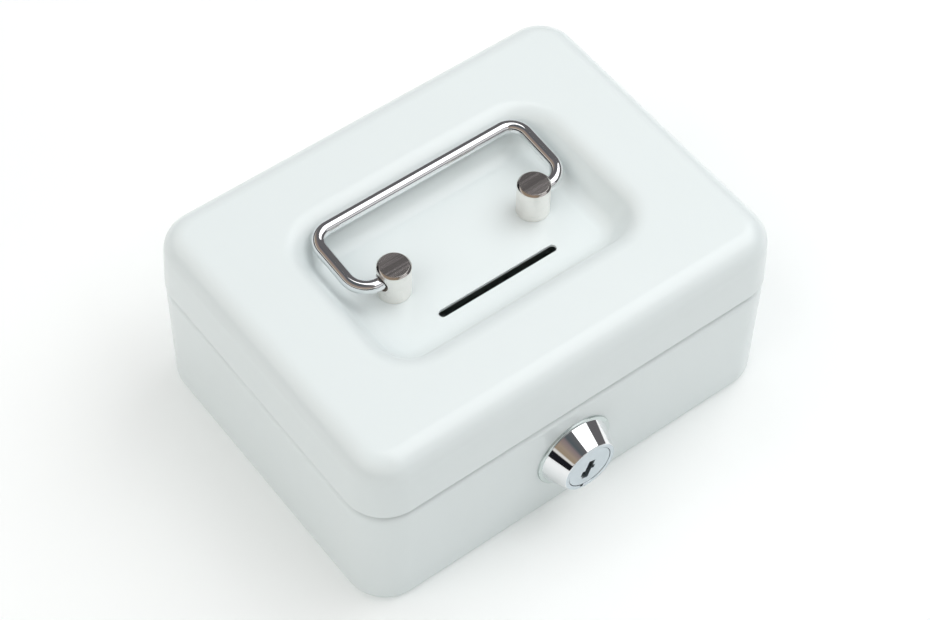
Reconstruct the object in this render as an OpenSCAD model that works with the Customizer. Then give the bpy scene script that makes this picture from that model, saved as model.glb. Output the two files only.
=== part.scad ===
// Small pressed-steel cash box with a hinged lid, a coin slot, a folding wire handle
// and a cam lock. Front is -Y, the hinges are at +Y, and z = 0 is the underside of the box.

/* [Box] */
// Overall width of the lid
box_w = 125; // [105:1:160]
// Overall depth of the lid
box_d = 95; // [78:1:125]
// Overall height with the lid closed
box_h = 56; // [46:1:75]
// Thickness of the pressed sheet steel
sheet = 0.8; // [0.6:0.05:1]
// Height of the lid, from its lower rim to its top
lid_h = 17.8; // [17:0.1:22]
// How far the lid stands proud of the box on each side
lid_overhang = 0.2; // [0.1:0.1:1]
// Gap between the lid's rim and the shoulder of the box
seam_gap = 0.4; // [0.3:0.1:0.8]
// How far the lid's walls lean in from rim to top
lid_draft = 1; // [0:0.1:1.5]
// Corner radius of the lid in plan
corner_r = 11; // [9:0.1:16]
// Radius of the lid's top edge
lid_edge_r = 6.5; // [4:0.1:8]
// Radius of the bottom edge of the box
base_edge_r = 2.6; // [1.5:0.1:5]
// Radius of the rolled shoulder, which sets the neck in under the lid
shoulder_r = 3.3; // [2:0.1:3.8]
// Height of the neck above the shoulder
neck_h = 5.5; // [4:0.1:6]
// Height of the folded hem at the top of the neck
hem_h = 3.5; // [2:0.1:4]

/* [Recess and coin slot] */
// Room between the handle's arms and the sides of the recess
recess_side_room = 5.8; // [3:0.1:8]
// Gap between the resting handle's grip and the slope of the recess
bail_gap = 0.3; // [0.3:0.05:1.5]
// How far the recess floor lies below the top
recess_depth = 9; // [8:0.1:10]
// How far the sloping side of the recess runs inwards
recess_run = 6; // [4:0.1:7]
// Corner radius of the recess in plan
recess_corner_r = 11.5; // [10:0.1:14]
// Radius where the top turns down into the recess
lip_r = 6; // [3:0.1:7]
// Radius where the slope meets the recess floor
floor_r = 5; // [2:0.1:6]
// Length of the coin slot
slot_l = 35.5; // [28:0.1:42]
// Width of the coin slot
slot_w = 2.2; // [1.8:0.1:3]
// Distance of the slot in front of the lid's middle
slot_front = 11.7; // [9:0.1:15]
// Place of the slot left or right of the middle
slot_x = 0.8; // [-2:0.1:2]

/* [Handle] */
// Half the distance between the two posts
post_x = 21.2; // [17:0.1:23]
// Distance of the posts behind the lid's middle
post_y = 0.8; // [0:0.1:2]
// Diameter of a post
post_d = 8.5; // [7:0.1:10.5]
// Height of a post above the recess floor
post_h = 10; // [9:0.1:12]
// Chamfer round the top of a post
post_chamfer = 0.5; // [0.2:0.1:0.8]
// Height of the handle's pivot above the recess floor
pivot_h = 6; // [4.8:0.1:6.2]
// Diameter of the handle's wire
wire_d = 3.5; // [2.8:0.1:4.2]
// Straight wire that shows between a post and the bend
pivot_free = 0.25; // [0.2:0.05:3]
// Reach of the handle from its pivot to the middle of the grip
bail_reach = 20.4; // [19:0.1:21.5]
// Bend radius of the wire where the arms meet the grip
grip_bend_r = 4.7; // [4:0.1:7]
// Bend radius of the wire where the arms meet the pivots
pivot_bend_r = 5.5; // [3:0.1:5.8]
// How far a pivot end reaches into its post
pivot_depth = 6; // [4:0.1:6.5]
// Angle of the handle above level when it lies back
bail_rise = 4; // [4:0.5:8]
// Radial clearance of the handle's ends in the posts
pivot_clear = 0.1; // [0.05:0.01:0.1]
// How much wider the mouth of a pivot hole is, all round the wire
pivot_mouth = 0.6; // [0.3:0.05:0.7]
// Diameter of the screw that holds a post from below
post_screw_d = 4; // [3:0.5:4]
// Thread engaged in the post
post_thread_l = 2.5; // [2:0.1:2.8]

/* [Hinges] */
// Distance of each hinge's middle from the side of the lid
hinge_inset = 26.5; // [24:0.5:34]
// Length of one hinge along its pin
hinge_l = 24; // [20:1:30]
// Thickness of the hinge leaves
leaf_t = 0.8; // [0.6:0.1:1]
// Diameter of the hinge pin
pin_d = 2; // [1.6:0.1:2.4]
// Radial clearance round the hinge pin
pin_clear = 0.05; // [0.02:0.01:0.1]
// Gap between neighbouring knuckles
knuckle_gap = 0.35; // [0.3:0.05:0.6]
// Height of the leaf welded inside the box
body_leaf_h = 13; // [8:0.5:16]
// Height of the leaf welded inside the lid
lid_leaf_h = 9; // [6:0.1:10]

/* [Lock] */
// Place of the lock left or right of the middle
lock_x = -2.6; // [-6:0.1:6]
// Height of the lock above the middle of the front wall
lock_lift = 2.25; // [-1:0.05:2.5]
// How far the lock is turned in the wall, seen from the front
lock_roll = 20; // [0:1:20]
// How far the thin flange against the wall stands out round the cone
flange_rim = 1; // [0.5:0.1:1.5]
// Thickness of that flange
flange_t = 0.55; // [0.4:0.05:1]
// How far the cone widens from the lock's face to the flange
cone_flare = 2.45; // [1.5:0.05:2.5]
// Width of the ring round the plug on the lock's face
face_ring = 1.17; // [0.8:0.01:1.5]
// Length of the cone
cone_l = 6; // [4:0.1:8]
// Wall of the threaded barrel round the plug
barrel_wall = 1.62; // [1.5:0.01:2]
// Depth of each of the barrel's two flats
flat_cut = 0.8; // [0.5:0.1:0.8]
// Length of the barrel behind the outside of the wall
barrel_l = 8.4; // [7.5:0.1:9]
// Diameter of the plug that turns with the key
plug_d = 12.6; // [10.5:0.1:15.5]
// Radial clearance of the plug in the housing
plug_clear = 0.08; // [0.03:0.01:0.1]
// Number of wafers
wafer_count = 5; // [3:1:6]
// How much wider than the barrel the lock nut is across its flats
nut_extra = 3; // [2:0.1:5]
// Thickness of the lock nut
nut_t = 3; // [2:0.1:3.5]
// Width of the cam
cam_w = 8; // [6:0.1:9]
// Thickness of the cam
cam_t = 1.2; // [1:0.1:1.5]
// Height left above the cam's tip, under the catch's strip over the neck
catch_room = 5.1; // [3:0.1:6]
// How far the cam's tip is bent towards the front
cam_tip_l = 3.4; // [3:0.1:4]

/* [Hidden] */
fine = 96;
eps = 0.01;
corner_steps = 8;
paint = [0.86, 0.88, 0.88];
chrome = [0.8, 0.81, 0.83];
nickel = [0.72, 0.7, 0.67];
satin = [0.74, 0.77, 0.8];
zinc = [0.66, 0.66, 0.63];
brass = [0.78, 0.62, 0.32];

// Heights shared by the box and the lid.
rim_z = box_h - lid_h;
shoulder_z = rim_z - seam_gap;
neck_top = shoulder_z + neck_h;
floor_z = box_h - recess_depth;
body_hw = box_w / 2 - lid_overhang;
body_hd = box_d / 2 - lid_overhang;
body_corner_r = corner_r - lid_overhang;
wall_top = shoulder_z - shoulder_r;
least_r = 0.4;

// Lean of the lid's walls.
lean_a = atan2(lid_draft, lid_h);
lid_arc_in = lid_edge_r * cos(lean_a) + (lid_h - lid_edge_r + lid_edge_r * sin(lean_a)) * tan(lean_a);

// Recess slope.
slope_a = atan2(recess_depth, recess_run);
lip_run = lip_r * tan(slope_a / 2);
floor_run = floor_r * tan(slope_a / 2);

// Handle.
wire_r = wire_d / 2;
post_r = post_d / 2;
pivot_z = floor_z + pivot_h;
stub_in = post_x + post_r - pivot_depth;
bail_half_w = post_x + post_r + pivot_free + pivot_bend_r;
grip_y = post_y + bail_reach * cos(bail_rise);
grip_z = pivot_z + bail_reach * sin(bail_rise);
recess_hw = bail_half_w + wire_r + recess_side_room;
recess_hd = grip_y + (wire_r + bail_gap + (box_h - grip_z) * cos(slope_a)) / sin(slope_a);
pivot_hole_extra = 0.6;
mouth_l = 1.6;
post_washer_t = 0.8;
post_washer_r = 4.5;
screw_gap = 0.02;
screw_head_h = 2.6;
screw_head_r = 3.8;
driver_w = 1;
driver_depth = 1.2;
screw_hole_clear = 0.15;

// Hinge axis, at seam height just behind the lid.
hinge_x = box_w / 2 - hinge_inset;
knuckle_r = pin_d / 2 + pin_clear + leaf_t + 0.05;
hinge_gap = 0.3;
hinge_y = box_d / 2 + hinge_gap + knuckle_r;
hinge_z = rim_z - seam_gap / 2;
end_knuckle_l = (hinge_l - 2 * knuckle_gap) * 0.3;
mid_knuckle_l = hinge_l - 2 * knuckle_gap - 2 * end_knuckle_l;
strap_low = knuckle_r - leaf_t - 0.1;
body_strap_z = hinge_z - strap_low - leaf_t;
link_gap = 0.04;
link_lean = link_gap + (shoulder_r - sheet)
    - sqrt(pow(shoulder_r - sheet, 2) - pow(max(body_strap_z - wall_top, 0), 2));
body_strap_in = body_hd - sheet - link_lean - leaf_t;
notch_clear = 0.15;
pin_head_r = 1.5;
pin_head_l = 0.5;
leaf_drop = 1.2;

// Lock, measured along +Y from the outside of the front wall.
front_y = -body_hd;
lock_z = wall_top / 2 + lock_lift;
plug_r = plug_d / 2;
bore_r = plug_r + plug_clear;
barrel_r = bore_r + barrel_wall;
barrel_flats = 2 * (barrel_r - flat_cut);
face_r = bore_r + face_ring;
cone_base_r = face_r + cone_flare;
flange_r = cone_base_r + flange_rim;
nut_flats = 2 * barrel_r + nut_extra;
barrel_clear = 0.1;
washer_t = 0.8;
washer_r = nut_flats / 2 + 1;
nut_y = sheet + washer_t;
stop_y = barrel_l + 0.1;
stop_t = 0.9;
stop_in_r = bore_r + 0.32;
stop_lug_a = 40;
stop_slack_a = 2;
turn_a = 90;
cam_y = stop_y + stop_t;
shank_w = 7;
shank_end = cam_y + cam_t - 0.1;
cam_hub_r = 7;
square_clear = 0.05;
cam_screw_d = 4;
cam_head_r = 4.2;
cam_head_h = 2.2;
wafer_t = 0.6;
wafer_pitch = 1.9;
wafer_w = 5.2;
wafer_in = 0.3;
wafer_h = 2 * sqrt(pow(plug_r - wafer_in, 2) - pow(wafer_w / 2, 2));
wafer_gap = 0.05;
wafer_start = -3.6;
screw_past_wafers = 1;
cam_screw_l = shank_end - wafer_start - (wafer_count - 1) * wafer_pitch - wafer_t - screw_past_wafers;
ear_w = 1.6;
ear_h = 1.4;
ear_z = 1.2;
spring_r = wafer_t / 2;
spring_l = 3.6;
keyway_w = 1.9;
keyway_top = 2.1;
keyway_low = -3.9;
keyway_step = 0.75;
ring_notch_w = 1;

// Catch under the lid that the cam's tip slides into.
catch_over_neck = 1.3;
catch_z = neck_top + catch_over_neck;
cam_reach = catch_z - lock_z - catch_room;
catch_t = 0.8;
catch_y = 7.4;
catch_w = 16;
catch_drop = 6;
tip_gap = 0.4;
tip_low = cam_reach;
tip_high = norm([cam_reach + cam_t, cam_w / 2]);
catch_half_w = cam_w / 2 + 1;
mouth_low = sqrt(pow(tip_low - tip_gap, 2) - pow(catch_half_w, 2));
mouth_high = tip_high + tip_gap;
lip_h = 3.1;
spine_w = 4;
mouth_side = 3;

// ---- Pressed shells: rounded rectangles stacked along a profile ----

function arc(cx, cy, r, a0, a1, n) =
    [for (i = [0:n]) [cx + r * cos(a0 + (a1 - a0) * i / n), cy + r * sin(a0 + (a1 - a0) * i / n)]];
function reversed(v) = [for (i = [len(v) - 1:-1:0]) v[i]];
function outline(hw, hd, r) =
    concat(arc(hw - r, hd - r, r, 0, 90, corner_steps), arc(r - hw, hd - r, r, 90, 180, corner_steps),
           arc(r - hw, r - hd, r, 180, 270, corner_steps), arc(hw - r, r - hd, r, 270, 360, corner_steps));
// A station is [half width, half depth, corner radius, height].
function ring(s) = [for (p = outline(s[0], s[1], s[2])) [p[0], p[1], s[3]]];
function inset_station(hw, hd, r, p) = [hw - p[0], hd - p[0], max(r - p[0], least_r), p[1]];

module pressed(stations) {
    m = 4 * (corner_steps + 1);
    last = len(stations) - 1;
    points = [for (s = stations) each ring(s)];
    sides = [for (i = [0:last - 1], j = [0:m - 1])
        let (k = (j + 1) % m, a = i * m + j, b = i * m + k)
        each [[a, a + m, b], [b, a + m, b + m]]];
    first_cap = [for (j = [0:m - 1]) j];
    last_cap = [for (j = [m - 1:-1:0]) last * m + j];
    polyhedron(points, concat([first_cap], sides, [last_cap]), convexity = 10);
}

// Both skins of the lid are the same path, t deep in the sheet.
function lid_side(t) =
    concat([[t / cos(lean_a), rim_z]],
           arc(lid_arc_in, box_h - lid_edge_r, lid_edge_r - t, 180 - lean_a, 90, 7));
function lid_well(t) =
    concat(arc(-lip_run, box_h - lip_r, lip_r - t, 90, 90 - slope_a, 5),
           arc(recess_run + floor_run, floor_z + floor_r, floor_r + t, 270 - slope_a, 270, 4));
function lid_skin(t) =
    concat([for (p = lid_side(t)) inset_station(box_w / 2, box_d / 2, corner_r, p)],
           [for (p = lid_well(t)) inset_station(recess_hw, recess_hd, recess_corner_r, p)]);

// The box, from its underside up and over the hemmed neck to its floor.
function body_path() =
    let (mid_z = wall_top, neck_in = shoulder_r + sheet)
    concat(arc(base_edge_r, base_edge_r, base_edge_r, 270, 180, 5),
           arc(shoulder_r, mid_z, shoulder_r, 180, 90, 5),
           [[shoulder_r, neck_top - sheet / 2], [shoulder_r + sheet / 2, neck_top],
            [neck_in + sheet / 2, neck_top], [neck_in + sheet, neck_top - sheet / 2],
            [neck_in + sheet, neck_top - hem_h], [neck_in, neck_top - hem_h],
            [neck_in, shoulder_z - sheet]],
           arc(shoulder_r, mid_z, shoulder_r - sheet, 90, 180, 5),
           arc(base_edge_r, base_edge_r, base_edge_r - sheet, 180, 270, 5));

// ---- Small helpers ----

module rod_y(r, y0, y1, n = fine) {
    translate([0, y1, 0])
        rotate([90, 0, 0])
            cylinder(r = r, h = y1 - y0, $fn = n);
}

module rod_x(r, x0, x1) {
    translate([x0, 0, 0])
        rotate([0, 90, 0])
            cylinder(r = r, h = x1 - x0, $fn = fine);
}

module box_between(low, high) {
    translate(low)
        cube(high - low);
}

// Children are placed on the lock's axis, with the outside of the wall at y = 0.
module at_lock(roll = lock_roll) {
    translate([lock_x, front_y, lock_z])
        rotate([0, roll, 0])
            children();
}

module barrel_outline(r, flats, y0, y1) {
    intersection() {
        rod_y(r, y0, y1);
        box_between([-flats / 2, y0 - 1, -r - 1], [flats / 2, y1 + 1, r + 1]);
    }
}

module each_post() {
    for (side = [-1, 1])
        translate([side * post_x, post_y, 0])
            children();
}

// Straps of one hinge, side by side along the pin: the two end ones or the middle one.
module end_straps(extra = 0) {
    for (x = [0, hinge_l - end_knuckle_l])
        translate([x - hinge_l / 2 - extra, 0, 0])
            rotate([90, 0, 90])
                linear_extrude(end_knuckle_l + 2 * extra)
                    children();
}

module mid_strap(extra = 0) {
    translate([-mid_knuckle_l / 2 - extra, 0, 0])
        rotate([90, 0, 90])
            linear_extrude(mid_knuckle_l + 2 * extra)
                children();
}

// ---- Box and lid ----

module box_body() {
    color(paint)
        difference() {
            pressed([for (p = body_path()) inset_station(body_hw, body_hd, body_corner_r, p)]);
            at_lock()
                barrel_outline(barrel_r + barrel_clear, barrel_flats + 2 * barrel_clear, -1, 3);
            for (side = [-1, 1])
                translate([side * hinge_x, 0, 0])
                    end_straps(notch_clear)
                        translate([body_strap_in - notch_clear, body_strap_z])
                            square([body_hd - body_strap_in + 1, shoulder_z - body_strap_z + 1]);
        }
}

module lid() {
    color(paint)
        difference() {
            pressed(concat(reversed(lid_skin(sheet)), lid_skin(0)));
            translate([slot_x, -slot_front, floor_z - sheet - 1])
                coin_slot(sheet + 2);
            each_post()
                translate([0, 0, floor_z - sheet - 1])
                    cylinder(d = post_screw_d + 2 * screw_hole_clear, h = sheet + 2, $fn = fine);
            for (side = [-1, 1])
                translate([side * hinge_x, 0, 0])
                    mid_strap(notch_clear)
                        translate([box_d / 2 - sheet - notch_clear, rim_z - 1])
                            square([sheet + 1, hinge_z + strap_low + leaf_t + notch_clear - rim_z + 1]);
        }
}

module coin_slot(h) {
    straight = slot_l - slot_w;
    union() {
        translate([-straight / 2, -slot_w / 2, 0])
            cube([straight, slot_w, h]);
        for (side = [-1, 1])
            translate([side * straight / 2, 0, 0])
                cylinder(d = slot_w, h = h, $fn = 48);
    }
}

// ---- Hinges ----

module knuckle_section() {
    translate([hinge_y, hinge_z])
        circle(r = knuckle_r, $fn = fine);
}

module pin_hole() {
    translate([0, hinge_y, hinge_z])
        rod_x(pin_d / 2 + pin_clear, -hinge_l, hinge_l);
}

module body_leaf(side) {
    wall_y = body_hd - sheet;
    plate_top = wall_top - leaf_drop / 4;
    link_low = plate_top - leaf_drop;
    color(zinc)
        translate([side * hinge_x, 0, 0])
            difference() {
                union() {
                    end_straps() {
                        knuckle_section();
                        translate([body_strap_in, body_strap_z])
                            square([hinge_y - body_strap_in, leaf_t]);
                        polygon([[wall_y - leaf_t, link_low], [wall_y, link_low], [wall_y, wall_top],
                                 [wall_y - link_lean, body_strap_z], [body_strap_in, body_strap_z],
                                 [wall_y - leaf_t, wall_top]]);
                    }
                    box_between([-hinge_l / 2, wall_y - leaf_t, plate_top - body_leaf_h],
                                [hinge_l / 2, wall_y, plate_top]);
                }
                pin_hole();
            }
}

// Section of a strip that lies t thick on the inside of the lid's leaning back wall.
module on_lid_wall(t, low, high) {
    translate([box_d / 2 - sheet / cos(lean_a), rim_z])
        rotate(lean_a)
            translate([-t, low])
                square([t, high - low]);
}

module lid_leaf(side) {
    strap_z = hinge_z + strap_low;
    strap_up = strap_z - rim_z;
    plate_low = strap_up + leaf_drop;
    strap_in = box_d / 2 - sheet - leaf_t;
    color(zinc)
        translate([side * hinge_x, 0, 0])
            difference() {
                union() {
                    mid_strap() {
                        knuckle_section();
                        translate([strap_in, strap_z])
                            square([hinge_y - strap_in, leaf_t]);
                        on_lid_wall(leaf_t, strap_up + leaf_t / 2, plate_low + 1);
                    }
                    translate([-hinge_l / 2, 0, 0])
                        rotate([90, 0, 90])
                            linear_extrude(hinge_l)
                                on_lid_wall(leaf_t, plate_low, strap_up + lid_leaf_h);
                }
                pin_hole();
            }
}

module hinge_pin(side) {
    color(zinc)
        translate([side * hinge_x, hinge_y, hinge_z]) {
            rod_x(pin_d / 2, -hinge_l / 2 - eps, hinge_l / 2 + eps);
            rod_x(pin_head_r, -hinge_l / 2 - pin_head_l, -hinge_l / 2);
            rod_x(pin_head_r, hinge_l / 2, hinge_l / 2 + pin_head_l);
        }
}

// ---- Handle ----

module wire_bend(x, y, r, turn) {
    translate([x, y, 0])
        rotate([0, 0, turn])
            rotate_extrude(angle = 90, $fn = fine)
                translate([r, 0])
                    circle(r = wire_r, $fn = 48);
}

module handle_bail() {
    grip_x = bail_half_w - grip_bend_r;
    color(chrome)
        translate([0, post_y, pivot_z])
            rotate([bail_rise, 0, 0]) {
                translate([0, bail_reach, 0])
                    rod_x(wire_r, -grip_x, grip_x);
                for (side = [0, 1])
                    mirror([side, 0, 0]) {
                        rod_x(wire_r, stub_in, bail_half_w - pivot_bend_r);
                        wire_bend(bail_half_w - pivot_bend_r, pivot_bend_r, pivot_bend_r, 270);
                        translate([bail_half_w, 0, 0])
                            rod_y(wire_r, pivot_bend_r, bail_reach - grip_bend_r);
                        wire_bend(grip_x, bail_reach - grip_bend_r, grip_bend_r, 0);
                    }
            }
}

module post(side) {
    hole_end = stub_in - pivot_hole_extra;
    color(nickel)
        translate([side * post_x, post_y, floor_z])
            difference() {
                rotate_extrude($fn = fine)
                    polygon([[0, 0], [post_r, 0], [post_r, post_h - post_chamfer],
                             [post_r - post_chamfer, post_h], [0, post_h]]);
                mirror([side < 0 ? 1 : 0, 0, 0])
                    translate([0, 0, pivot_h]) {
                        rod_x(wire_r + pivot_clear, hole_end - post_x, post_r + 1);
                        rod_x(wire_r + pivot_mouth, post_r - mouth_l, post_r + 1);
                    }
                translate([0, 0, -1])
                    cylinder(d = post_screw_d + 2 * screw_gap, h = post_thread_l + 1.1, $fn = fine);
            }
}

module post_washers() {
    color(zinc)
        each_post()
            translate([0, 0, floor_z - sheet - post_washer_t])
                difference() {
                    cylinder(r = post_washer_r, h = post_washer_t, $fn = fine);
                    translate([0, 0, -1])
                        cylinder(d = post_screw_d + 2 * screw_hole_clear, h = post_washer_t + 2, $fn = fine);
                }
}

module cross_recess(depth) {
    for (turn = [0, 90])
        rotate([0, 0, turn])
            translate([-2, -driver_w / 2, -1])
                cube([4, driver_w, depth + 1]);
}

module post_screws() {
    under = floor_z - sheet - post_washer_t;
    color(zinc)
        each_post()
            translate([0, 0, under - screw_head_h])
                difference() {
                    union() {
                        cylinder(r = screw_head_r, h = screw_head_h, $fn = fine);
                        cylinder(d = post_screw_d,
                                 h = screw_head_h + post_washer_t + sheet + post_thread_l, $fn = fine);
                    }
                    cross_recess(driver_depth);
                }
}

// ---- Lock ----

module lock_housing() {
    face_y = -flange_t - cone_l;
    groove_r = barrel_r - 0.9;
    color(chrome)
        at_lock()
            difference() {
                union() {
                    rod_y(flange_r, -flange_t, 0);
                    translate([0, -flange_t, 0])
                        rotate([90, 0, 0])
                            cylinder(h = cone_l, r1 = cone_base_r, r2 = face_r, $fn = fine);
                    barrel_outline(barrel_r, barrel_flats, -eps, barrel_l);
                    translate([0, barrel_l - eps, 0])
                        stop_sector(stop_in_r, barrel_r, 0, stop_lug_a, stop_t + eps);
                }
                rod_y(bore_r, face_y - 1, barrel_l + stop_t + 1);
                box_between([-wafer_w / 2 - 0.1, wafer_start - 1, -groove_r],
                            [wafer_w / 2 + 0.1, barrel_l - 1.2, groove_r]);
                translate([0, 0, -bore_r])
                    box_between([-ring_notch_w / 2, face_y - 1, -ring_notch_w / 2],
                                [ring_notch_w / 2, face_y + 0.6, ring_notch_w / 2]);
            }
}

// Part of a ring about the lock's axis, from angle a0 over a, counted from +X towards +Z.
module stop_sector(r0, r1, a0, a, t) {
    rotate([0, -a0, 0])
        translate([0, t, 0])
            rotate([90, 0, 0])
                rotate_extrude(angle = a, $fn = fine)
                    translate([r0, 0])
                        square([r1 - r0, t]);
}

function wafer_y(i) = wafer_start + i * wafer_pitch;

module wafer_section(grow) {
    translate([-wafer_w / 2 - grow, -wafer_h / 2 - grow])
        square([wafer_w + 2 * grow, wafer_h + 2 * grow]);
    translate([0, ear_z - grow])
        square([wafer_w / 2 + ear_w + grow, ear_h + 2 * grow]);
}

// Stands a section up across the lock's axis: its first axis along X, its second along Z.
module across(y, t) {
    translate([0, y + t, 0])
        rotate([90, 0, 0])
            linear_extrude(t)
                children();
}

module keyway_section() {
    translate([-keyway_w / 2, keyway_low])
        square([keyway_w, keyway_top - keyway_low]);
    translate([-keyway_w / 2 - keyway_step, keyway_low + 0.9])
        square([keyway_step + 0.1, 1.7]);
    translate([keyway_w / 2 - 0.1, -0.9])
        square([keyway_step + 0.1, 1.2]);
}

module lock_plug() {
    face_y = -flange_t - cone_l + 0.1;
    color(satin)
        at_lock()
            difference() {
                union() {
                    rod_y(plug_r, face_y, barrel_l);
                    across(barrel_l - eps, shank_end - barrel_l + eps)
                        square(shank_w, center = true);
                }
                across(face_y - 1, wafer_y(wafer_count) - face_y + 1)
                    keyway_section();
                for (i = [0:wafer_count - 1])
                    across(wafer_y(i) - wafer_gap, wafer_t + 2 * wafer_gap) {
                        wafer_section(wafer_gap);
                        translate([wafer_w / 2 - wafer_gap, ear_z - spring_l])
                            square([ear_w + 2 * wafer_gap, spring_l + wafer_gap]);
                    }
                rod_y(cam_screw_d / 2 + screw_gap, shank_end - cam_screw_l - 0.4, shank_end + 1);
            }
}

module lock_wafers() {
    color(brass)
        at_lock()
            for (i = [0:wafer_count - 1])
                across(wafer_y(i), wafer_t)
                    difference() {
                        wafer_section(0);
                        translate([0, (keyway_top + keyway_low) / 2 + 0.25 * (i % 3 - 1)])
                            square([keyway_w + 2 * keyway_step, 4.6], center = true);
                    }
}

module wafer_springs() {
    color(zinc)
        at_lock()
            for (i = [0:wafer_count - 1])
                translate([(wafer_w + ear_w) / 2, wafer_y(i) + wafer_t / 2, ear_z - spring_l])
                    cylinder(r = spring_r, h = spring_l, $fn = 24);
}

module lock_washer() {
    color(zinc)
        at_lock()
            difference() {
                rod_y(washer_r, sheet, sheet + washer_t);
                rod_y(barrel_r + barrel_clear, sheet - 1, sheet + washer_t + 1);
            }
}

module lock_nut() {
    color(zinc)
        at_lock()
            difference() {
                translate([0, nut_y + nut_t, 0])
                    rotate([90, 0, 0])
                        cylinder(r = nut_flats / sqrt(3), h = nut_t, $fn = 6);
                rod_y(barrel_r + screw_gap, nut_y - 1, nut_y + nut_t + 1);
            }
}

module stop_washer() {
    open_a = turn_a + stop_lug_a + 2 * stop_slack_a;
    color(zinc)
        at_lock()
            difference() {
                rod_y(barrel_r, stop_y, stop_y + stop_t);
                across(stop_y - 1, stop_t + 2)
                    square(shank_w + 2 * square_clear, center = true);
                translate([0, stop_y - 1, 0])
                    stop_sector(stop_in_r - 0.15, barrel_r + 1, -stop_slack_a, open_a, stop_t + 2);
            }
}

module lock_cam() {
    color(zinc)
        at_lock(0)
            difference() {
                union() {
                    rod_y(cam_hub_r, cam_y, cam_y + cam_t);
                    box_between([-cam_reach - cam_t, cam_y, -cam_w / 2], [0, cam_y + cam_t, cam_w / 2]);
                    box_between([-cam_reach - cam_t, cam_y - cam_tip_l, -cam_w / 2],
                                [-cam_reach, cam_y + cam_t, cam_w / 2]);
                }
                rotate([0, lock_roll, 0])
                    across(cam_y - 1, cam_t + 2)
                        square(shank_w + 2 * square_clear, center = true);
            }
}

module cam_screw() {
    head_y = cam_y + cam_t;
    color(zinc)
        at_lock()
            difference() {
                union() {
                    rod_y(cam_head_r, head_y, head_y + cam_head_h);
                    rod_y(cam_screw_d / 2, shank_end - cam_screw_l, head_y + eps);
                }
                translate([0, head_y + cam_head_h, 0])
                    rotate([90, 0, 0])
                        cross_recess(1);
            }
}

// A strip welded inside the lid's front, over the neck and down behind it, ending in a hook.
module lid_catch() {
    over_up = catch_z - rim_z;
    weld_y = box_d / 2 - sheet - over_up * tan(lean_a) - catch_t;
    top = catch_z - lock_z;
    hook_low = mouth_low - lip_h;
    right = catch_half_w + spine_w;
    hook_y = front_y + catch_y;
    color(zinc) {
        translate([lock_x + right, 0, 0])
            rotate([90, 0, -90])
                linear_extrude(catch_w) {
                    on_lid_wall(catch_t, over_up - catch_drop, over_up + catch_t / 2);
                    translate([-hook_y - catch_t, catch_z])
                        square([weld_y + catch_t / 2 + hook_y + catch_t, catch_t]);
                }
        at_lock(0) {
            box_between([right - catch_w, catch_y, mouth_high], [right, catch_y + catch_t, top + eps]);
            box_between([-mouth_side, catch_y, hook_low], [right, catch_y + catch_t, mouth_low]);
            box_between([catch_half_w, catch_y, hook_low], [right, catch_y + catch_t, top + eps]);
        }
    }
}

box_body();
lid();
body_leaf(-1);  // left_body_leaf
body_leaf(1);  // right_body_leaf
lid_leaf(-1);  // left_lid_leaf
lid_leaf(1);  // right_lid_leaf
hinge_pin(-1);  // left_hinge_pin
hinge_pin(1);  // right_hinge_pin
handle_bail();
post(-1);  // left_post
post(1);  // right_post
post_washers();
post_screws();
lock_housing();
lock_plug();
lock_wafers();
wafer_springs();
lock_washer();
lock_nut();
stop_washer();
lock_cam();
cam_screw();
lid_catch();
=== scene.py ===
"""Visual model of a small pressed-steel cash box with a folding wire handle and a cam lock.

Every new piece is drawn in millimetres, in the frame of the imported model, and is turned
into metres when it is finished. Front is -Y, the hinges are at +Y and the table is z = 0.
"""

import logging  # noqa: E402
from collections.abc import Callable, Iterable, Iterator, Sequence  # noqa: E402
from contextlib import contextmanager  # noqa: E402
from dataclasses import dataclass, field  # noqa: E402
from enum import Enum  # noqa: E402
from itertools import pairwise  # noqa: E402
from math import atan2, cos, degrees, hypot, pi, radians, sin, tan  # noqa: E402

import bmesh  # noqa: E402
import bpy  # noqa: E402
from mathutils import Matrix, Vector  # noqa: E402


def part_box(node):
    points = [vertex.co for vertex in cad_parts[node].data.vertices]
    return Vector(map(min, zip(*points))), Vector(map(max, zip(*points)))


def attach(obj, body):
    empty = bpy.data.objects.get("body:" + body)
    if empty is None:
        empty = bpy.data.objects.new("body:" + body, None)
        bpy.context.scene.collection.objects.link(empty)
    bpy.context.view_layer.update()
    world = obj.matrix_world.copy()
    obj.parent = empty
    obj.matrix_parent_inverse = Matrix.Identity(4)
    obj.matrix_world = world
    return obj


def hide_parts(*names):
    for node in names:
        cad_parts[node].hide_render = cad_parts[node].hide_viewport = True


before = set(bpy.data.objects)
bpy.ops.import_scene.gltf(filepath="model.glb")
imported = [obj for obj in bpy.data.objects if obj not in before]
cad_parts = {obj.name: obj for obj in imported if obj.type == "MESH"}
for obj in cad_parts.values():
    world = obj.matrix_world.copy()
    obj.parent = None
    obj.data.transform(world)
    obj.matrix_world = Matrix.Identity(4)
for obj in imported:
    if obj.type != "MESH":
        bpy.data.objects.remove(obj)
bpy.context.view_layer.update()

log = logging.getLogger("cash_box")

MM = 0.001
Pair = tuple[float, float]
Triple = tuple[float, float, float]
Mesh = bpy.types.Object
Material = bpy.types.Material
Socket = bpy.types.NodeSocket


class Body(Enum):
    """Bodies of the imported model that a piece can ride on."""

    BOX = "box"
    LID = "lid"
    HANDLE = "handle"
    CORE = "lock_core"


class Slot(Enum):
    """Finishes that the record names."""

    ENAMEL = "white_enamel"
    CHROME = "polished_chrome"
    NICKEL = "satin_nickel"
    PLUG = "satin_plug"
    BRASS = "wafer_brass"
    ZINC = "zinc_plate"
    STEEL = "bright_steel"


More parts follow.
